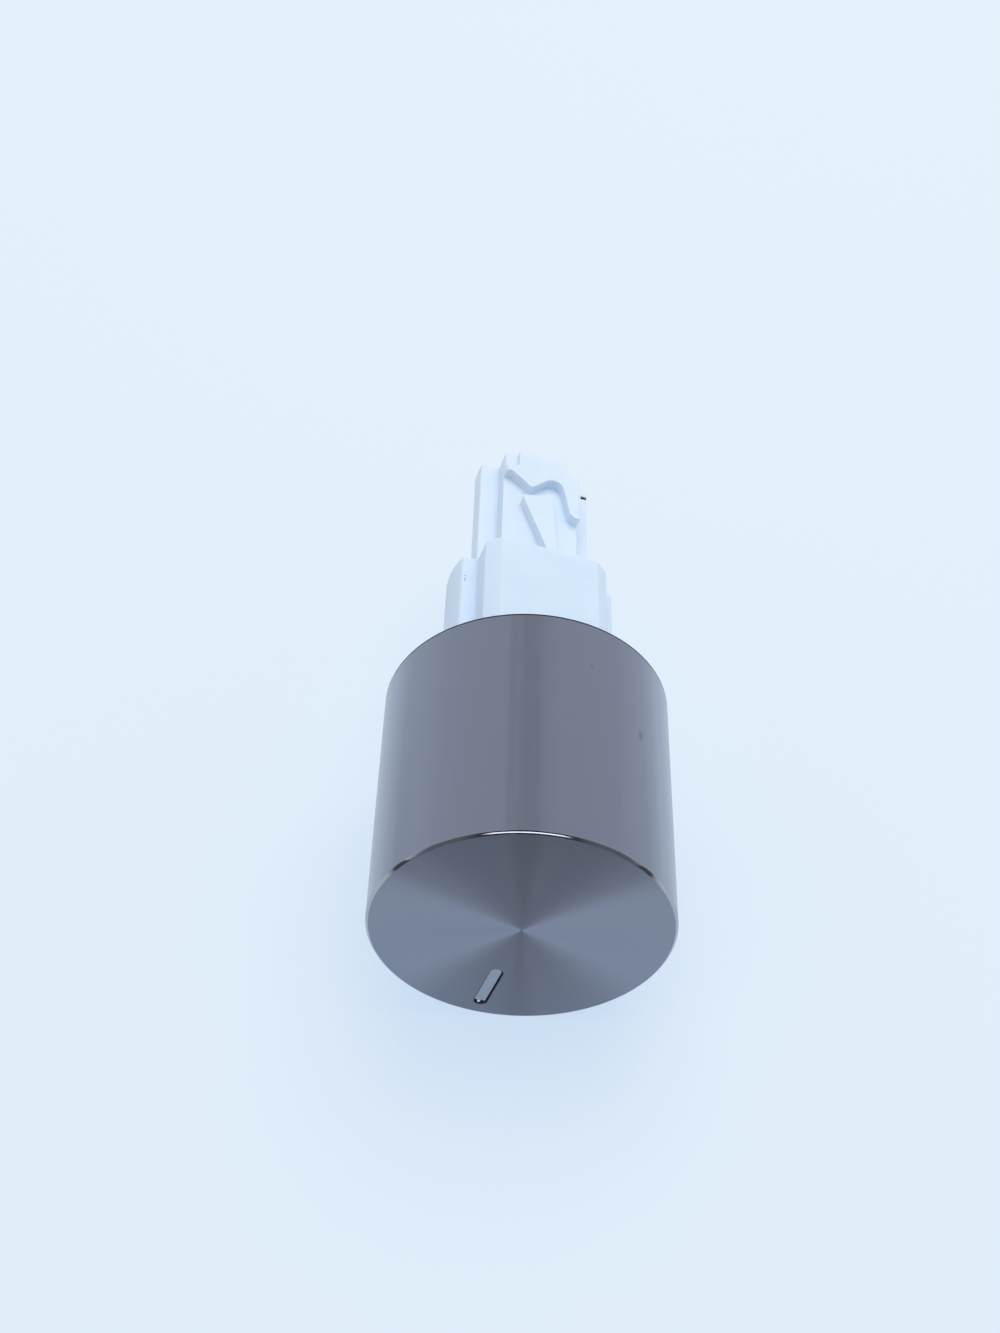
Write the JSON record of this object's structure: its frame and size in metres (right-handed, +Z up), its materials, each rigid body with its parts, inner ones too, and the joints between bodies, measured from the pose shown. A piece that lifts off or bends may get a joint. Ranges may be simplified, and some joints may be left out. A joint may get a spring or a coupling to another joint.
{
  "type": "oven knob",
  "caption": "Round brushed-metal push-push knob with an inset pointer, on a stepped guide sleeve and a cross-shaped stem with a cam track and spindle socket.",
  "frame": {"origin": "on the knob's axis, in the mouth of the spindle socket at the stem's far end", "axes": "+Y along the axis, away from the user and out of the socket's mouth; the cap's face looks along -Y; +Z up, with the knob turned 18 degrees clockwise about its axis as seen from the user"},
  "size_m": [0.04, 0.0868, 0.04],
  "materials": {
    "cap_metal": "brushed and clear anodised, circular on the face and round the side",
    "pointer_metal": "satin",
    "insert_plastic": "as moulded",
    "sleeve_plastic": "as moulded, soft satin",
    "follower_steel": "drawn wire",
    "spring_steel": "drawn spring wire",
    "stem_plastic": "as moulded, soft satin",
    "clip_steel": "blackened spring steel"
  },
  "bodies": {
    "stem": {"cam_stem": "stem_plastic", "spindle_clip": "clip_steel"},
    "grip": {"cap_shell": "cap_metal", "pointer_bar": "pointer_metal", "cap_insert": "insert_plastic", "guide_sleeve": "sleeve_plastic", "return_spring": "spring_steel"},
    "follower": {"cam_follower": "follower_steel"}
  },
  "joints": [
    {"name": "push", "type": "slide", "parent": "stem", "child": "grip", "axis": [0, 1, 0], "range_m": [0, 0.0226], "stiffness_N_per_m": 250, "springref_m": -0.015, "deforming": ["return_spring"]},
    {"name": "follower_swing", "type": "hinge", "parent": "grip", "child": "follower", "pos_m": [-0.00159, -0.04238, 0.00052], "axis": [-0.309, 0, -0.9511], "range_deg": [0, 28.3]}
  ]
}
